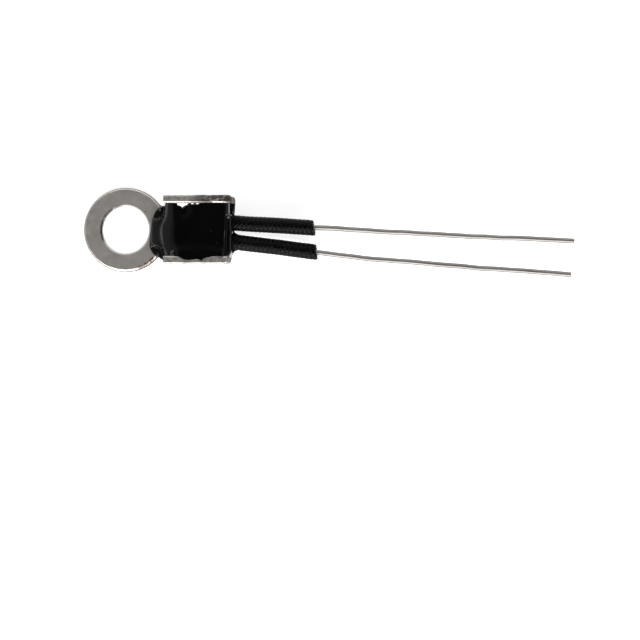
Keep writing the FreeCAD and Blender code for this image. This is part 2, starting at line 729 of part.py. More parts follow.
def make_overflow():
    """Compound that has run onto the top of the right wall, as a low cap on the fill."""
    half = "(Sizes.overflow_length / 2)"
    rise = "(Sizes.overflow_height + Sizes.fill_drop)"
    radius = f"(({half} ^ 2 + {rise} ^ 2) / (2 * {rise}))"
    cap = doc.addObject("Part::Sphere", "overflow_cap")
    cap.setExpression("Radius", radius)
    cap.setExpression("Angle1", f"asin(({radius} - {rise}) / {radius})")
    along = f"{HOUSING_START} + Sizes.overflow_setback + {half}"
    cap.setExpression("Placement.Base.x", along)
    cap.setExpression("Placement.Base.y", f"Sizes.overflow_width / 2 - {INNER_HALF}")
    cap.setExpression("Placement.Base.z", f"{FILL_LEVEL} - {radius} + {rise}")
    return cap


def make_potting(lug, bead, leads, sleeve_rooms):
    pour = doc.addObject("Part::MultiFuse", "pour")
    pour.Shapes = [make_fill(), make_collar(), make_overflow()]
    doc.recompute()
    return cut("epoxy_potting", pour, lug, bead, *leads, *sleeve_rooms)


def check_everything():
    for item in doc.Objects:
        failed = {"Invalid", "Error"} & set(item.State)
        if failed:
            raise RuntimeError(f"{item.Label} did not build: {item.State}")


def export(pieces):
    os.makedirs("parts", exist_ok=True)
    for piece in pieces:
        shape = piece.Shape
        if shape.isNull() or not shape.isValid() or not shape.Solids:
            raise RuntimeError(f"{piece.Label} has no valid solid")
    for piece in pieces:
        piece.Shape.exportStep(f"parts/{piece.Label}.step")
        print(piece.Label, len(piece.Shape.Solids), round(piece.Shape.Volume, 4))


def main():
    fill_sheet()
    lug = make_lug()
    leads = [make_lead(side) for side in ("left", "right")]
    sleeves = [make_sleeve(side) for side in ("left", "right")]
    rooms = [make_sleeve_room(side) for side in ("left", "right")]
    chip, *electrodes = make_chip()
    solders = [make_solder(side, lead) for side, lead in zip(("left", "right"), leads)]
    whole_bead = make_bead_blank()
    bead = cut("bead_coating", whole_bead, chip, *electrodes, *solders, *leads)
    potting = make_potting(lug, whole_bead, leads, rooms)
    doc.recompute()
    check_everything()
    export([lug, potting, bead, chip, *electrodes, *solders, *leads, *sleeves])


main()
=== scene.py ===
import math
import random

import bpy
import numpy as np
from mathutils import Matrix, Vector


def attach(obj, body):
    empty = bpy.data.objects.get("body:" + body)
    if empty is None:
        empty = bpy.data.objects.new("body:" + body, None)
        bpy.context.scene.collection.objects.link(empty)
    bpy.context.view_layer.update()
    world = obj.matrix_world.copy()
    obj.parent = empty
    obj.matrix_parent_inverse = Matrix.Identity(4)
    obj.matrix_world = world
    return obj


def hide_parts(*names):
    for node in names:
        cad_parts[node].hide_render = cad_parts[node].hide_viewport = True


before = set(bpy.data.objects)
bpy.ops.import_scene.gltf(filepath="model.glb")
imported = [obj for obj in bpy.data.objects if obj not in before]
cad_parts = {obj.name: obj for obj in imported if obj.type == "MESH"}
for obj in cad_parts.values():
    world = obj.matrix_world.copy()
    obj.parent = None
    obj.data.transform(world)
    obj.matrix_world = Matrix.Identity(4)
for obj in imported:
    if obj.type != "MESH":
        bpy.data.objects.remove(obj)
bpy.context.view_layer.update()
MM = 0.001
SIDES = ("left", "right")
WHITE = (1.0, 1.0, 1.0)


# Materials: every surface gets its grain, wear and gloss from nodes.

class Nodes:
    """One material's or world's nodes. A value is a number, a colour or a (node, socket) pair."""

    def __init__(self, owner, shader="Principled BSDF"):
        owner.use_nodes = True
        self.owner = owner
        self.tree = owner.node_tree
        self.shader = self.tree.nodes[shader]

    def add(self, kind, **values):
        node = self.tree.nodes.new(kind)
        for key, value in values.items():
            if key in node.inputs:
                node.inputs[key].default_value = value
            else:
                setattr(node, key, value)
        return node

    def feed(self, value, node, target):
        """Link a (node, socket) pair to an input, or set the input to a number or a colour."""
        if not isinstance(value, tuple):
            node.inputs[target].default_value = value
        elif hasattr(value[0], "outputs"):
            self.tree.links.new(value[0].outputs[value[1]], node.inputs[target])
        else:
            node.inputs[target].default_value = (*value, 1.0)

    def place(self, kind="Object"):
        return (self.add("ShaderNodeTexCoord"), kind)

    def noise(self, scale, detail=4.0, rough=0.55, stretch=None):
        node = self.add("ShaderNodeTexNoise", Scale=scale, Detail=detail, Roughness=rough)
        place = self.place()
        if stretch:
            squeeze = self.add("ShaderNodeMapping", Scale=stretch)
            self.feed(place, squeeze, "Vector")
            place = (squeeze, "Vector")
        self.feed(place, node, "Vector")
        return (node, "Fac")

    def ramp(self, source, stops):
        node = self.add("ShaderNodeValToRGB")
        points = node.color_ramp.elements
        while len(points) < len(stops):
            points.new(0.5)
        for point, (place, colour) in zip(points, stops):
            point.position = place
            point.color = (*colour, 1.0)
        self.feed(source, node, "Fac")
        return (node, "Color")

    def spread(self, source, low, high, start=0.3, end=0.7):
        """The source's stretch from start to end, spread over low to high."""
        limits = {"From Min": start, "From Max": end, "To Min": low, "To Max": high}
        node = self.add("ShaderNodeMapRange", **limits)
        self.feed(source, node, "Value")
        return (node, "Result")

    def gate(self, source, low, high):
        """0 below low, 1 above high, smooth between; turned round where low is above high."""
        limits = {"From Min": low, "From Max": high}
        node = self.add("ShaderNodeMapRange", interpolation_type="SMOOTHSTEP", **limits)
        self.feed(source, node, "Value")
        return (node, "Result")

    def bump(self, source, strength, distance, under=None):
        node = self.add("ShaderNodeBump", Strength=strength, Distance=distance)
        self.feed(source, node, "Height")
        if under:
            self.feed(under, node, "Normal")
        return (node, "Normal")

    def maths(self, operation, *values):
        node = self.add("ShaderNodeMath", operation=operation)
        for index, value in enumerate(values):
            self.feed(value, node, index)
        return (node, "Value")

    def times(self, product, *factors):
        for factor in factors:
            product = self.maths("MULTIPLY", product, factor)
        return product

    def weighted(self, first, first_share, second, second_share):
        """The sum of two values, each times its share."""
        parts = self.times(first, first_share), self.times(second, second_share)
        return self.maths("ADD", *parts)

    def blend(self, amount, below, above):
        node = self.add("ShaderNodeMixRGB")
        for name, value in (("Fac", amount), ("Color1", below), ("Color2", above)):
            self.feed(value, node, name)
        return (node, "Color")

    def finish(self, colour, rough, grain, strength, depth):
        """Join colour and roughness to the shader, and the grain as its bump."""
        self.feed(colour, self.shader, "Base Color")
        self.feed(rough, self.shader, "Roughness")
        self.feed(self.bump(grain, strength, depth), self.shader, "Normal")
        return self.owner


def material_nodes(name, **values):
    """The nodes of a new material, with these values on its shader's own sockets."""
    m = Nodes(bpy.data.materials.new(name))
    for key, value in values.items():
        m.shader.inputs[key.replace("_", " ")].default_value = value
    return m


def lug_plating():
    """Dull plating with its freckles, and with the stains, cut faces and painted shade where the
    lug has them.
    """
    m = material_nodes("lug_plating", Metallic=1.0, Coat_Roughness=0.06)
    split = m.add("ShaderNodeSeparateXYZ")
    m.feed(m.place(), split, 0)
    x, y, z = ((split, axis) for axis in "XYZ")
    radius = m.maths("SQRT", m.weighted(x, x, y, y))
    specks = m.gate(m.noise(5200.0, 2.0, 0.5), 0.71, 0.76)
    fleck = m.noise(2600.0, 5.0, 0.7)
    streak = m.noise(2400.0, 4.0, 0.65, (0.45, 1.6, 1.6))
    stripe = m.noise(3800.0, 3.0, 0.6, (1.6, 0.12, 0.3))

    # The walls' tops: sheared streaks on the rear of the left one, dull flecks on both.
    top_of_wall = m.gate(z, 2.60 * MM, 2.86 * MM)
    left_wall = m.gate(y, 1.2 * MM, 1.6 * MM)
    right_wall = m.gate(y, -2.0 * MM, -2.1 * MM)
    rear_part = m.gate(x, 5.0 * MM, 6.6 * MM)
    sheared = m.times(top_of_wall, left_wall, rear_part, m.gate(streak, 0.42, 0.48))
    dull = m.times(top_of_wall, left_wall, m.gate(fleck, 0.52, 0.62))
    mottled = m.times(top_of_wall, right_wall, m.gate(fleck, 0.47, 0.60))

    # The ring: raw metal on one side of its hole, darkened there as painted shade, a burnt bite at
    # its rim and its cut edge.
    in_hole = m.gate(radius, 2.06 * MM, 1.93 * MM)
    hole_left = m.gate(m.weighted(y, 0.45, x, -0.9), 0.8 * MM, 1.5 * MM)
    raw_and_painted_shade = m.times(in_hole, hole_left, m.gate(fleck, 0.40, 0.46))
    at_rim = m.gate(radius, 2.97 * MM, 3.04 * MM)
    lower_right = m.gate(m.weighted(y, -0.72, x, 0.69), 2.66 * MM, 2.92 * MM)
    ring_only = m.times(m.gate(z, 0.90 * MM, 0.80 * MM), m.gate(x, 3.20 * MM, 3.05 * MM))
    burnt = m.times(at_rim, lower_right, ring_only, m.gate(fleck, 0.46, 0.52))
    cut_edge = m.times(m.gate(radius, 3.225 * MM, 3.265 * MM), m.gate(x, 3.30 * MM, 3.10 * MM))

    # The housing: the right wall's outer face, the cut rear darkened as painted shade, and the
    # striped floor before it, painted near black as shade.
    outer = m.times(m.gate(y, -2.60 * MM, -2.66 * MM), m.gate(x, 3.10 * MM, 3.30 * MM))
    rear_cut_and_shade = m.gate(m.maths("MULTIPLY_ADD", y, -0.0611, x), 8.44 * MM, 8.46 * MM)
    shaded_rear_strip = m.times(m.gate(x, 8.00 * MM, 8.15 * MM), m.gate(z, 1.20 * MM, 0.90 * MM))
    # The floor before the cut rear: stripes on the metal, painted near black as shade.
    striped_painted_shade = m.times(shaded_rear_strip, m.gate(stripe, 0.50, 0.60))

    clouds = m.noise(420.0, 6.0, 0.62)
    colour = m.ramp(clouds, [(0.30, (0.665, 0.630, 0.592)), (0.70, (0.735, 0.698, 0.658))])
    for mask, share, stain in (
        (specks, 0.75, (0.10, 0.085, 0.075)),
        (sheared, 0.85, (0.060, 0.040, 0.032)),
        (dull, 0.45, (0.24, 0.22, 0.205)),
        (mottled, 0.60, (0.26, 0.24, 0.225)),
        # Raw metal in the hole, darkened on its left wall as painted shade.
        (raw_and_painted_shade, 0.95, (0.075, 0.040, 0.028)),
        (burnt, 0.90, (0.090, 0.050, 0.034)),
        (cut_edge, 0.85, (0.20, 0.185, 0.17)),
        (outer, 0.70, (0.30, 0.285, 0.27)),
        # The cut rear: cut metal, darkened further as painted shade, darkest on the left wall.
        (rear_cut_and_shade, 0.85, (0.16, 0.15, 0.14)),
        (m.times(rear_cut_and_shade, left_wall), 0.80, (0.050, 0.036, 0.030)),
        # Painted shade, striped, on the floor before the cut rear.
        (striped_painted_shade, 1.0, (0.045, 0.042, 0.040)),
    ):
        colour = m.blend(m.times(mask, share), colour, stain)
    m.feed(colour, m.shader, "Base Color")

    # The bright skin of the plating is a coat, and it is thin where the metal is cut or worn.
    cut_faces = m.maths("MAXIMUM", cut_edge, rear_cut_and_shade)
    worn = m.times(m.gate(z, 2.30 * MM, 2.60 * MM), left_wall, rear_part, 0.8)
    bare = m.maths("MAXIMUM", m.maths("MAXIMUM", cut_faces, m.times(outer, 0.6)), worn)
    m.feed(m.maths("MULTIPLY_ADD", bare, -0.85, 1.0), m.shader, "Coat Weight")
    haze = m.spread(m.noise(1800.0, 4.0), 0.43, 0.49)
    m.feed(m.maths("MULTIPLY_ADD", cut_faces, 0.35, haze), m.shader, "Roughness")
    fine = m.bump(m.noise(5200.0, 4.0, 0.6), 0.22, 0.006 * MM)
    ragged = m.noise(1700.0, 3.0, 0.6)
    m.feed(m.bump(ragged, 0.12, 0.014 * MM, under=fine), m.shader, "Normal")
    m.feed(m.bump(ragged, 0.55, 0.030 * MM), m.shader, "Coat Normal")
    return m.owner


def tinned_wire():
    m = material_nodes("wire_tin", Metallic=1.0)
    clouds = m.noise(1300.0, 4.0, 0.6, (0.35, 1.0, 1.0))
    colour = m.ramp(clouds, [(0.32, (0.305, 0.287, 0.270)), (0.66, (0.375, 0.355, 0.336))])
    lumps = m.noise(2600.0, 3.0, 0.55, (0.4, 1.0, 1.0))
    return m.finish(colour, m.spread(clouds, 0.42, 0.50), lumps, 0.30, 0.010 * MM)


def compound_gloss():
    m = material_nodes("potting_gloss", IOR=1.5)
    clouds = m.noise(520.0, 4.0)
    colour = m.ramp(clouds, [(0.35, (0.0007, 0.0006, 0.0007)), (0.72, (0.0016, 0.0015, 0.0016))])
    dust = m.gate(m.noise(4300.0, 1.0, 0.4), 0.775, 0.80)
    dusty = m.blend(m.times(dust, 0.25), colour, (0.10, 0.10, 0.10))
    return m.finish(dusty, m.spread(clouds, 0.03, 0.07), m.noise(760.0, 2.0), 0.35, 0.020 * MM)


def woven_black():
    m = material_nodes("sleeve_weave", IOR=1.19)
    clouds = m.noise(2400.0, 4.0, 0.6)
    colour = m.ramp(clouds, [(0.35, (0.0012, 0.0012, 0.0013)), (0.70, (0.0034, 0.0034, 0.0035))])
    rough = m.spread(clouds, 0.17, 0.30, start=0.35, end=0.65)
    return m.finish(colour, rough, m.noise(9000.0, 3.0, 0.6), 0.15, 0.006 * MM)


# Finishes of the pieces sealed inside the compound: low and high colour, metallic, roughness and
# noise scale.

FIRED_SILVER = ((0.66, 0.65, 0.61), (0.80, 0.79, 0.75), 1.0, 0.45, 3000.0)
SOLDER_METAL = ((0.52, 0.52, 0.53), (0.66, 0.66, 0.67), 1.0, 0.30, 2400.0)
BEAD_LACQUER = ((0.070, 0.045, 0.030), (0.120, 0.085, 0.060), 0.0, 0.22, 1500.0)
OXIDE_CERAMIC = ((0.055, 0.055, 0.058), (0.105, 0.102, 0.100), 0.0, 0.75, 4200.0)


def hidden_finish(name, low, high, metal, rough, scale):
    m = material_nodes(name, Metallic=metal)
    clouds = m.noise(scale, 5.0, 0.6)
    colour = m.ramp(clouds, [(0.35, low), (0.68, high)])
    haze = m.spread(clouds, rough * 0.85, min(1.0, rough * 1.2))
    return m.finish(colour, haze, m.noise(scale * 4, 3.0), 0.3, 0.006 * MM)


def dress(node, material):
    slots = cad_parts[node].data.materials
    for index in range(len(slots)):
        slots[index] = material


gloss = compound_gloss()
tin = tinned_wire()
weave = woven_black()
dress("ring_lug", lug_plating())
dress("epoxy_potting", gloss)
dress("bead_coating", hidden_finish("bead_lacquer", *BEAD_LACQUER))
dress("thermistor_chip", hidden_finish("oxide_ceramic", *OXIDE_CERAMIC))
for side in SIDES:
    dress(f"lead_{side}", tin)
    dress(f"sleeve_{side}", weave)
    dress(f"electrode_{side}", hidden_finish(f"fired_silver_{side}", *FIRED_SILVER))
    dress(f"solder_{side}", hidden_finish(f"solder_metal_{side}", *SOLDER_METAL))


# Shapes are worked out in millimetres in the row frame, and turned into metres at the end.

def add_mesh(name, points, faces, material):
    mesh = bpy.data.meshes.new(name)
    mesh.from_pydata([tuple(point) for point in points], [], faces)
    mesh.update()
    piece = bpy.data.objects.new(name, mesh)
    bpy.context.scene.collection.objects.link(piece)
    mesh.materials.append(material)
    mesh.polygons.foreach_set("use_smooth", [True] * len(mesh.polygons))
    return piece


def strip_faces(rows, columns, start=0, closed=False):
    """Faces between neighbouring rows of points; closed joins each row's end to its start."""
    faces = []
    for row in range(rows - 1):
        for column in range(columns if closed else columns - 1):
            after = (column + 1) % columns
            a = start + row * columns + column
            b = start + row * columns + after
            faces.append((a, b, b + columns, a + columns))
    return faces


def smooth_step(value, low, high):
    t = np.clip((value - low) / (high - low), 0.0, 1.0)
    return t * t * (3 - 2 * t)


def bell(value, centre, width):
    return np.exp(-(((value - centre) / width) ** 2))


def wander(value, seed, period, harmonics=4):
    """A smooth seeded wave between about -1 and 1."""
    turns = random.Random(seed)
    total = np.zeros_like(value, dtype=float)
    for order in range(1, harmonics + 1):
        shift = turns.uniform(0, 2 * math.pi)
        stretch = turns.uniform(0.8, 1.25) * order
        total += np.sin(value * 2 * math.pi * stretch / period + shift) / order
    return total / 1.6


def drawn_line(value, points, window=21):
    """A softened line through a few drawn points."""
    places, heights = zip(*points)
    fine = np.linspace(places[0], places[-1], 1200)
    line = np.interp(fine, places, heights)
    half = window // 2
    soft = np.convolve(np.pad(line, half, mode="edge"), np.ones(window) / window, mode="valid")
    return np.interp(value, fine, soft)


# Sizes of the lug and the leads that the scene's own pieces have to meet.

LUG_LEVEL = 0.65
WALL_TOP = 3.0
WALL_INSIDE = 2.05
HOUSING_REAR = 8.58
LEAD_LEVEL = 1.285
WIRE_RADIUS = 0.205
SLEEVE_RADIUS = 0.635
SLEEVE_EXIT = 8.495
SLEEVES = {
    "left": {"exit": 0.545, "heading": -3.4, "start": 7.1, "end": 15.03},
    "right": {"exit": -0.925, "heading": -6.8, "start": 7.1, "end": 15.23},
}


# The potting compound: a poured surface with its tongue, hollows, slope, facets and overflow.

TONGUE_FRONT = 1.90
TONGUE_ROLL = 0.15
STEP_RISE = 0.80
SLOPE_TOP = 4.42
SLOPE_LEVEL = 2.06
REAR_SHIFT_START = 7.6
REAR_ROLL = 0.22
FAR_OUTLINE = [
    (1.90, -1.02), (1.93, -0.55), (2.00, 0.00), (2.07, 0.54), (2.19, 1.01), (2.34, 1.40),
    (2.62, 1.71), (2.92, 1.88), (3.20, 1.97), (3.32, 2.05), (9.00, 2.05),
]
NEAR_OUTLINE = [
    (1.90, -1.02), (1.95, -1.49), (2.19, -1.88), (2.42, -2.08), (2.70, -2.20), (2.95, -2.38),
    (3.24, -2.42), (3.33, -2.10), (4.20, -2.06), (4.40, -2.11), (4.90, -2.39), (5.30, -2.45),
    (5.95, -2.36), (6.32, -2.47), (6.66, -2.27), (7.26, -2.14), (9.00, -2.18),
]
FOOT_LINE = [
    (-2.3, 3.12), (-1.6, 2.98), (-1.0, 2.82), (-0.5, 2.70), (0.0, 2.70),
    (0.4, 2.80), (0.8, 2.98), (1.2, 3.06), (2.3, 3.10),
]
# How far the bright facets reach in from the left wall, along x.
FACET_LINE = [
    (4.30, -0.1), (4.40, 0.20), (4.60, 0.25), (4.80, 0.42), (4.93, 0.26), (5.14, 0.19),
    (5.36, 0.02), (5.48, 0.11), (5.62, 0.13), (5.78, 0.03), (5.90, 0.12), (6.04, 0.12),
    (6.16, 0.03), (6.30, -0.1),
]
# The tongue's two hollows (x, y, radius), and small drops on the surface (x, y, height, spread).
HOLLOWS = ((2.42, 1.72, 1.00), (2.28, -2.00, 0.86))
DROPS = (
    (6.02, 0.02, 0.020, 0.045),
    (6.10, -0.72, 0.016, 0.040),
    (4.02, 0.78, 0.030, 0.060),
    (2.78, 1.64, 0.085, 0.105),
    (2.62, -2.00, 0.095, 0.115),
)


def compound_height(x, y):
    """Level of the poured surface, before its borders roll down."""
    foot = drawn_line(y, FOOT_LINE, 161)
    reach = np.clip(np.minimum(x, foot) - 1.92, 0.0, 2.0)
    ramp = 0.74 + 0.95 * reach - 0.35 * reach**2 + 0.012 * np.sin(y * 3.1)
    before = 1 - smooth_step(x, foot - 0.05, foot + 0.25)
    for hollow_x, hollow_y, radius in HOLLOWS:
        distance = np.hypot(x - hollow_x, y - hollow_y)
        inside = (1 - smooth_step(distance, radius - 0.22, radius)) * before
        ramp = ramp + 0.85 * inside * (0.84 + 0.16 * (x - 2.2) - ramp)
        ramp = ramp + 0.025 * bell(distance, radius + 0.04, 0.06) * before

    step = STEP_RISE * smooth_step(x, foot, foot + 0.34)
    climb = np.clip((x - foot - 0.12) / (SLOPE_TOP - foot - 0.12), 0.0, 1.0)
    level = ramp + step + (SLOPE_LEVEL - ramp) * (1 - (1 - climb) ** 2)

    # The top sags between the walls, drifts a little and turns down at the rear brow.
    body = smooth_step(x, 3.15, 3.5)
    sag = 0.06 * (y / WALL_INSIDE) ** 2
    drift = 0.012 * np.sin(1.7 * x + 0.9 * y) + 0.008 * np.sin(2.9 * y - 1.3 * x + 1.0)
    level = level + body * (drift + sag * climb)
    brow = 8.06 + 0.10 * (y / 2.0) ** 2 + 0.04 * np.sin(1.9 * y + 0.4)
    drop = 0.30 - 0.25 * smooth_step(y, 0.85, 1.25)
    level = level - drop * smooth_step(x, brow, brow + 0.17) - 0.10 * np.clip(x - brow, 0.0, 1.0)

    # Facets lean on the left wall, over a long shallow hollow.
    far_gap = WALL_INSIDE - y
    hollow = 0.16 * bell(x, 4.85, 0.62) * smooth_step(y, 0.5, 1.5)
    level = level - body * hollow * climb
    inside = smooth_step(np.interp(x, *zip(*FACET_LINE)) - far_gap, -0.02, 0.02)
    plane = 2.965 - 0.514 * far_gap
    level = level + inside * np.maximum(plane - level, -0.05)

    # The overflow covers the right wall, with a small ridge at its front.
    over_wall = smooth_step(-y, 0.90, WALL_INSIDE + 0.08) * smooth_step(x, 4.0, 4.6)
    missing = np.maximum(WALL_TOP + 0.05 - level, 0.0)
    level = level + over_wall * missing * (1 - smooth_step(x, 7.9, 8.1))
    level = level + 0.15 * bell(x, 4.04, 0.12) * bell(y, -1.86, 0.20)
    for drop_x, drop_y, rise, spread in DROPS:
        level = level + rise * np.exp(-((x - drop_x) ** 2 + (y - drop_y) ** 2) / spread**2)
    return level


def rear_edge(y):
    """The compound's rear face, set back at the left corner and drawn out round the sleeves."""
    setback = 0.17 * smooth_step(y, 1.05, 1.30)
    between = 0.06 * bell(y, -0.25, 0.22)
    return HOUSING_REAR - setback + between - 0.16 * smooth_step(-y, 1.7, 2.1)


def make_compound(material):
    columns = 160
    xs = np.concatenate([
        TONGUE_FRONT + 0.62 * (1 - np.cos(np.linspace(0, math.pi / 2, 34))),
        np.linspace(2.54, 4.6, 92),
        np.linspace(4.63, REAR_SHIFT_START, 84),
        np.linspace(7.62, HOUSING_REAR, 62),
    ])
    rows = len(xs)
    even = np.linspace(0, 1, columns)
    shares = 0.5 * even + 0.5 * (0.5 - 0.5 * np.cos(math.pi * even))
    low = drawn_line(xs, NEAR_OUTLINE)[:, None]
    high = drawn_line(xs, FAR_OUTLINE)[:, None]
    y = low + (high - low) * shares[None, :]
    late = (xs[:, None] - REAR_SHIFT_START) / (HOUSING_REAR - REAR_SHIFT_START)
    x = xs[:, None] + (rear_edge(y) - HOUSING_REAR) * np.clip(late, 0.0, 1.0)
    level = compound_height(x, y)

    # The borders roll down: into the rear face, round the tongue and at the overflow's lip.
    rolled = np.clip(REAR_ROLL - (rear_edge(y) - x), 0.0, REAR_ROLL)
    level = level - (REAR_ROLL - np.sqrt(np.maximum(REAR_ROLL**2 - rolled**2, 0.0)))
    rim = np.minimum(high - y, y - low)
    front = (x - TONGUE_FRONT) * 1.3
    edge = np.clip(1 - np.minimum(rim, front) / TONGUE_ROLL, 0.0, 1.0)
    on_tongue = 1 - smooth_step(x, 3.2, 3.36)
    level = level - on_tongue * (level - LUG_LEVEL) * (1 - np.sqrt(np.maximum(1 - edge**2.4, 0.0)))
    lip = np.clip(1 - (y - low) / 0.10, 0.0, 1.0) * smooth_step(x, 4.2, 4.5)
    level = level - 0.045 * lip**2

    # A skirt goes down from the border into the lug, and a fan of triangles closes it there.
    points = list(np.stack([x, y, level], axis=-1).reshape(-1, 3) * MM)
    faces = strip_faces(rows, columns)
    border = list(range(columns))
    border += [row * columns + columns - 1 for row in range(1, rows)]
    border += [(rows - 1) * columns + column for column in range(columns - 2, -1, -1)]
    border += [row * columns for row in range(rows - 2, 0, -1)]
    buried = LUG_LEVEL - 0.02
    skirt = []
    for top in border:
        px, py, pz = points[top]
        deep = buried
        if px < 3.25 * MM and abs(py) > 1.9 * MM:
            deep = 0.30
        if 3.36 * MM < px < 8.3 * MM and py < -WALL_INSIDE * MM:
            deep = WALL_TOP - 0.20
        skirt.append((top, len(points)))
        points.append((px, py, min(deep * MM, pz)))
    centre = len(points)
    points.append((5.5 * MM, -0.1 * MM, buried * MM))
    for (top, foot), (next_top, next_foot) in zip(skirt, skirt[1:] + skirt[:1]):
        faces.append((top, foot, next_foot, next_top))
        faces.append((foot, centre, next_foot))
    add_collar(points, faces, "right", 0.62, 200)
    add_collar(points, faces, "left", 0.24, 340)
    piece = add_mesh("poured_compound", points, faces, material)
    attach(piece, "root")
    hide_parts("epoxy_potting")


def sleeve_frame(side):
    """The sleeve's axis at the rear of the housing, and its directions along and across."""
    spec = SLEEVES[side]
    turn = math.radians(spec["heading"])
    along = Vector((math.cos(turn), math.sin(turn), 0.0))
    across = Vector((-math.sin(turn), math.cos(turn), 0.0))
    return Vector((SLEEVE_EXIT, spec["exit"], LEAD_LEVEL)), along, across


def add_collar(points, faces, side, reach, lean):
    """The concave fillet of compound that a wetted sleeve draws out, widest at the lean angle."""
    origin, along, across = sleeve_frame(side)
    steps, around = 18, 64
    start = len(points)
    for step in range(steps):
        share = step / (steps - 1)
        distance = -0.30 + (reach + 0.30) * share
        tail = min(1.0, max(0.0, 1 - max(0.0, distance) / reach))
        swell = reach * (1 - math.sqrt(max(0.0, 1 - tail**2)))
        for turn in range(around):
            angle = 2 * math.pi * turn / around
            droop = 0.85 + 0.35 * math.cos(angle - math.radians(lean))
            radius = SLEEVE_RADIUS - 0.03 + 1.15 * swell * droop
            rise = math.sin(angle)
            high = LEAD_LEVEL + (radius if rise < 0 else 0.06) * rise
            spot = origin + along * distance + across * (radius * math.cos(angle))
            points.append((spot.x * MM, spot.y * MM, max(high, 0.04) * MM))
    faces.extend(strip_faces(steps, around, start, closed=True))


# The sleeves: braided tubes, each strand over and under its neighbours, snipped at a slant.

STRANDS = 12
STRAND_PITCH = 0.34
STRAND_RELIEF = 0.048
# Radius and set-back of the rings that lead from the snipped end into the tube, round the wire.
MOUTH = ((0.42, 0.0), (0.30, -0.02), (0.25, -0.06), (0.25, -0.8))


def braid(turns, length):
    """Height of the braid, 0 in the gaps and 1 on a strand's crown."""
    a = turns * STRANDS + length / STRAND_PITCH
    b = turns * STRANDS - length / STRAND_PITCH
    cell_a, cell_b = np.floor(a), np.floor(b)
    fa, fb = a - cell_a - 0.5, b - cell_b - 0.5
    a_over = (cell_a + cell_b) % 2 == 0
    across = np.where(a_over, fa, fb)
    run = np.where(a_over, fb, fa)
    crown = np.sqrt(np.maximum(np.cos(math.pi * across), 0.0))
    return crown * (0.45 + 0.55 * np.cos(math.pi * run))


def make_sleeve(side, material, seed):
    spec = SLEEVES[side]
    origin, along, across = sleeve_frame(side)
    slant = math.cos(math.radians(spec["heading"]))
    begin = (spec["start"] - SLEEVE_EXIT) / slant
    finish = (spec["end"] - SLEEVE_EXIT) / slant
    rows, around = 250, 128
    theta = np.linspace(0, 2 * math.pi, around, endpoint=False)
    s = np.linspace(0, 1, rows)[:, None]
    cut = 0.22 * (0.5 + 0.5 * np.cos(theta))[None, :]
    frayed = 0.015 * wander(theta, seed, 2 * math.pi / 9)[None, :]
    length = begin + (finish - begin - cut + frayed) * s
    turns = theta[None, :] / (2 * math.pi) + 0.004 * wander(length, seed + 1, 2.4)
    relief = braid(turns, length)
    flat = 1 - 0.008 * np.cos(2 * theta)[None, :] * wander(length, seed + 2, 5.0)
    body = (SLEEVE_RADIUS - STRAND_RELIEF * (1 - relief)) * flat - 0.012
    end_gap = np.maximum(finish - cut - length, 0)
    body = body - 0.05 * np.exp(-end_gap / 0.07)
    sway = 0.012 * wander(length, seed + 3, 9.0)

    def place(distance, radius, angle, drift):
        side_way = radius * np.cos(angle) + drift
        x = origin.x + along.x * distance + across.x * side_way
        y = origin.y + along.y * distance + across.y * side_way
        z = origin.z + radius * np.sin(angle)
        return np.stack([x, y, z], axis=-1).reshape(-1, 3)

    rings = [place(length, body, theta[None, :], sway)]
    for radius, back in MOUTH:
        rings.append(place(length[-1] + back, radius, theta, sway[-1]))
    faces = strip_faces(rows + len(MOUTH), around, closed=True)
    piece = add_mesh(f"braided_sleeve_{side}", np.concatenate(rings) * MM, faces, material)
    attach(piece, "root")
    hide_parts(f"sleeve_{side}")


# The leads: drawn wire with an uneven skin of tin. It bends sharply inside the compound, and
# softly from SOFT_START on.

SOFT_START = 14.0
ROUTES = {
    "left": [
        (4.85, 0.49), (6.25, 0.50), (6.85, 0.643), (14.0, 0.225), (16.5, 0.130), (24.4, -0.340),
        (35.17, -0.815),
    ],
    "right": [
        (4.85, -0.49), (6.25, -0.48), (6.85, -0.729), (18.4, -2.130), (24.4, -2.650),
        (34.93, -3.420),
    ],
}


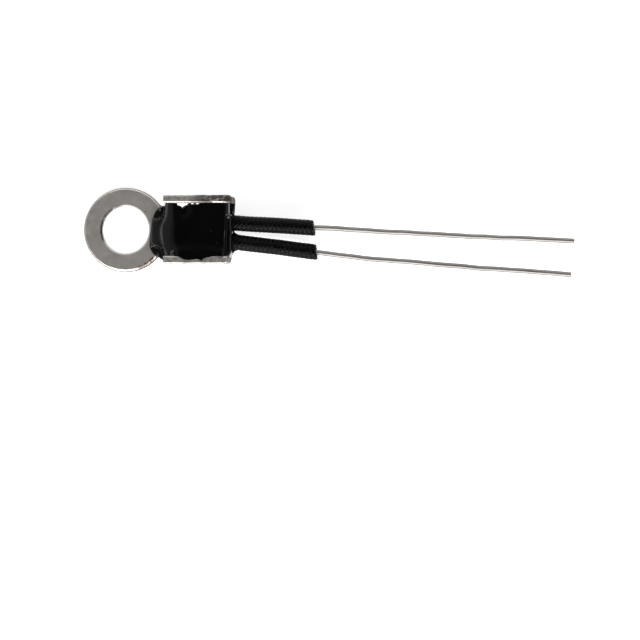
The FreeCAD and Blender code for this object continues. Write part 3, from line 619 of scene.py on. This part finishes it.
def make_lead(side, material, seed):
    route_x, route_y = np.array(ROUTES[side]).T
    stations = np.concatenate([
        np.linspace(route_x[0], SOFT_START, 90),
        np.linspace(14.05, route_x[-1], 420),
    ])
    tip = stations[-1]
    line = np.interp(stations, route_x, route_y)
    soft = np.convolve(np.pad(line, 8, mode="edge"), np.ones(17) / 17, mode="valid")
    line = np.where(stations > SOFT_START, soft, line)
    free = smooth_step(stations, 14.5, 17.0) * (1 - smooth_step(stations, tip - 2.0, tip))
    line = line + free * 0.028 * wander(stations, seed, 7.5)
    rise = free * 0.02 * wander(stations, seed + 1, 9.0)
    slope = np.gradient(line, stations)[:, None]

    around = 28
    theta = np.linspace(0, 2 * math.pi, around, endpoint=False)
    lumps = 0.003 * wander(stations, seed + 2, 1.7, 6)[:, None] * np.cos(theta + seed)
    flats = 0.002 * wander(stations, seed + 3, 0.83, 6)[:, None] * np.cos(2 * theta + 1.0)
    pinch = 1 - 0.22 * np.exp(-(tip - stations) / 0.10)
    radius = WIRE_RADIUS * (0.985 + (lumps + flats)) * pinch[:, None]
    norm = np.sqrt(1 + slope**2)
    x = stations[:, None] - slope / norm * radius * np.cos(theta)
    y = line[:, None] + radius * np.cos(theta) / norm
    z = LEAD_LEVEL + rise[:, None] + radius * np.sin(theta)
    points = list(np.stack([x, y, z], axis=-1).reshape(-1, 3) * MM)
    rows = len(stations)
    faces = strip_faces(rows, around, closed=True)
    for row, inset in ((0, 0.0), (rows - 1, 0.02)):
        centre = len(points)
        points.append(((stations[row] + inset) * MM, line[row] * MM, LEAD_LEVEL * MM))
        for turn in range(around):
            pair = (row * around + turn, row * around + (turn + 1) % around)
            faces.append((centre, *pair) if row == 0 else (centre, *reversed(pair)))
    piece = add_mesh(f"tinned_lead_{side}", points, faces, material)
    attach(piece, "root")
    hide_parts(f"lead_{side}")


make_compound(gloss)
for number, side in enumerate(SIDES):
    make_sleeve(side, weave, 21 + 7 * number)
    make_lead(side, tin, 41 + 7 * number)


# The stage: a pale table. The camera sees it lifted to white by a glow, with the part's shadow
# on it. Glossy and transmission rays see it plain white. Neither glow is sampled as a lamp.

TABLE_HALF = 2.0
TABLE_LEVEL = -0.002 * MM
TABLE_GLOW = 0.72


def white_table():
    m = material_nodes("table_white", Roughness=0.6, Specular_IOR_Level=0.1)
    m.shader.inputs["Base Color"].default_value = (0.92, 0.92, 0.92, 1.0)

    def glow(strength):
        return (m.add("ShaderNodeEmission", Color=(*WHITE, 1.0), Strength=strength), "Emission")

    def combine(kind, *values):
        node = m.add(kind)
        for index, value in enumerate(values):
            m.feed(value, node, index)
        return (node, "Shader")

    path = m.add("ShaderNodeLightPath")
    matt = (m.shader, "BSDF")
    lifted = combine("ShaderNodeAddShader", matt, glow(TABLE_GLOW))
    direct = combine("ShaderNodeMixShader", (path, "Is Camera Ray"), matt, lifted)
    mirrored = m.maths("MAXIMUM", (path, "Is Glossy Ray"), (path, "Is Transmission Ray"))
    surface = combine("ShaderNodeMixShader", mirrored, direct, glow(1.0))
    m.feed(surface, m.tree.nodes["Material Output"], "Surface")
    m.owner.cycles.emission_sampling = "NONE"
    return m.owner


quarters = ((-1, -1), (1, -1), (1, 1), (-1, 1))
corners = [(TABLE_HALF * i, TABLE_HALF * j, TABLE_LEVEL) for i, j in quarters]
table = add_mesh("table", corners, [(0, 1, 2, 3)], white_table())


# The world: a light tent with grey sides and a dark hood straight above. The camera sees it
# white, and glossy and transmission rays see it white near the horizon.

TENT = ((0.0, 0.30), (0.55, 0.30), (0.80, 0.17), (0.93, 0.045), (1.0, 0.035))
HORIZON_BAND = (0.14, 0.06)
MIDDLE = (0.015, 0.0, 0.0)
# Each lamp's place and size in metres, and its power in watts.
LAMPS = {
    "softbox_far": ((0.015, 0.58, 0.36), (0.80, 0.14), 0.35),
    "strip_far": ((0.015, 0.55, 0.42), (1.40, 0.02), 1.2),
    "softbox_near": ((0.015, -0.56, 0.33), (0.80, 0.50), 1.9),
    "strip_near": ((0.015, -0.55, 0.42), (1.40, 0.035), 5.6),
}


def light_tent():
    w = Nodes(bpy.data.worlds.new("light_tent"), "Background")
    split = w.add("ShaderNodeSeparateXYZ")
    w.feed(w.place("Generated"), split, 0)
    upward = (split, "Z")
    tent = w.ramp(upward, [(level, (value,) * 3) for level, value in TENT])
    path = w.add("ShaderNodeLightPath")
    mirrored = w.maths("MAXIMUM", (path, "Is Glossy Ray"), (path, "Is Transmission Ray"))
    low_down = w.spread(upward, 0.0, 1.0, *HORIZON_BAND)
    white = w.maths("MAXIMUM", w.times(mirrored, low_down), (path, "Is Camera Ray"))
    w.feed(w.blend(white, tent, WHITE), w.shader, "Color")
    w.shader.inputs["Strength"].default_value = 1.0
    bpy.context.scene.world = w.owner


def add_lamp(name, place, size, power):
    """A rectangular lamp, aimed at the middle of the part."""
    data = bpy.data.lights.new(name, "AREA")
    data.shape = "RECTANGLE"
    data.size, data.size_y = size
    data.energy = power
    lamp = bpy.data.objects.new(name, data)
    bpy.context.scene.collection.objects.link(lamp)
    lamp.location = place
    lamp.rotation_euler = (Vector(MIDDLE) - Vector(place)).to_track_quat("-Z", "Y").to_euler()


light_tent()
for name, values in LAMPS.items():
    add_lamp(name, *values)


# The camera looks down at the part, leaning a little from the near right.

PIXEL = 0.0782 * MM
IMAGE = 640
SENSOR = 36.0
DISTANCE = 400.0 * MM
LEAN = math.radians(6.2)
LEAN_TOWARDS = math.radians(-2.0)
ROLL = math.radians(0.2)
RING_CENTRE = Vector((0.0, 0.0, 0.65 * MM))
RING_PIXEL = (125.4, 229.9)


def add_camera():
    tilt = math.sin(LEAN)
    back = Vector((tilt * math.cos(LEAN_TOWARDS), tilt * math.sin(LEAN_TOWARDS), math.cos(LEAN)))
    back.normalize()
    right = Vector((math.cos(ROLL), math.sin(ROLL), 0.0))
    right = (right - back * right.dot(back)).normalized()
    up = back.cross(right)
    from_middle = (RING_PIXEL[0] - IMAGE / 2, IMAGE / 2 - RING_PIXEL[1])
    aim = RING_CENTRE - right * from_middle[0] * PIXEL - up * from_middle[1] * PIXEL
    data = bpy.data.cameras.new("photo_camera")
    data.sensor_width = SENSOR
    data.lens = SENSOR * DISTANCE / (PIXEL * IMAGE)
    data.clip_start = 0.01
    data.clip_end = 10.0
    camera = bpy.data.objects.new("photo_camera", data)
    bpy.context.scene.collection.objects.link(camera)
    turn = Matrix((right, up, back)).transposed()
    camera.matrix_world = Matrix.Translation(aim + back * DISTANCE) @ turn.to_4x4()
    bpy.context.scene.camera = camera


add_camera()
bpy.context.scene.view_settings.view_transform = "Standard"
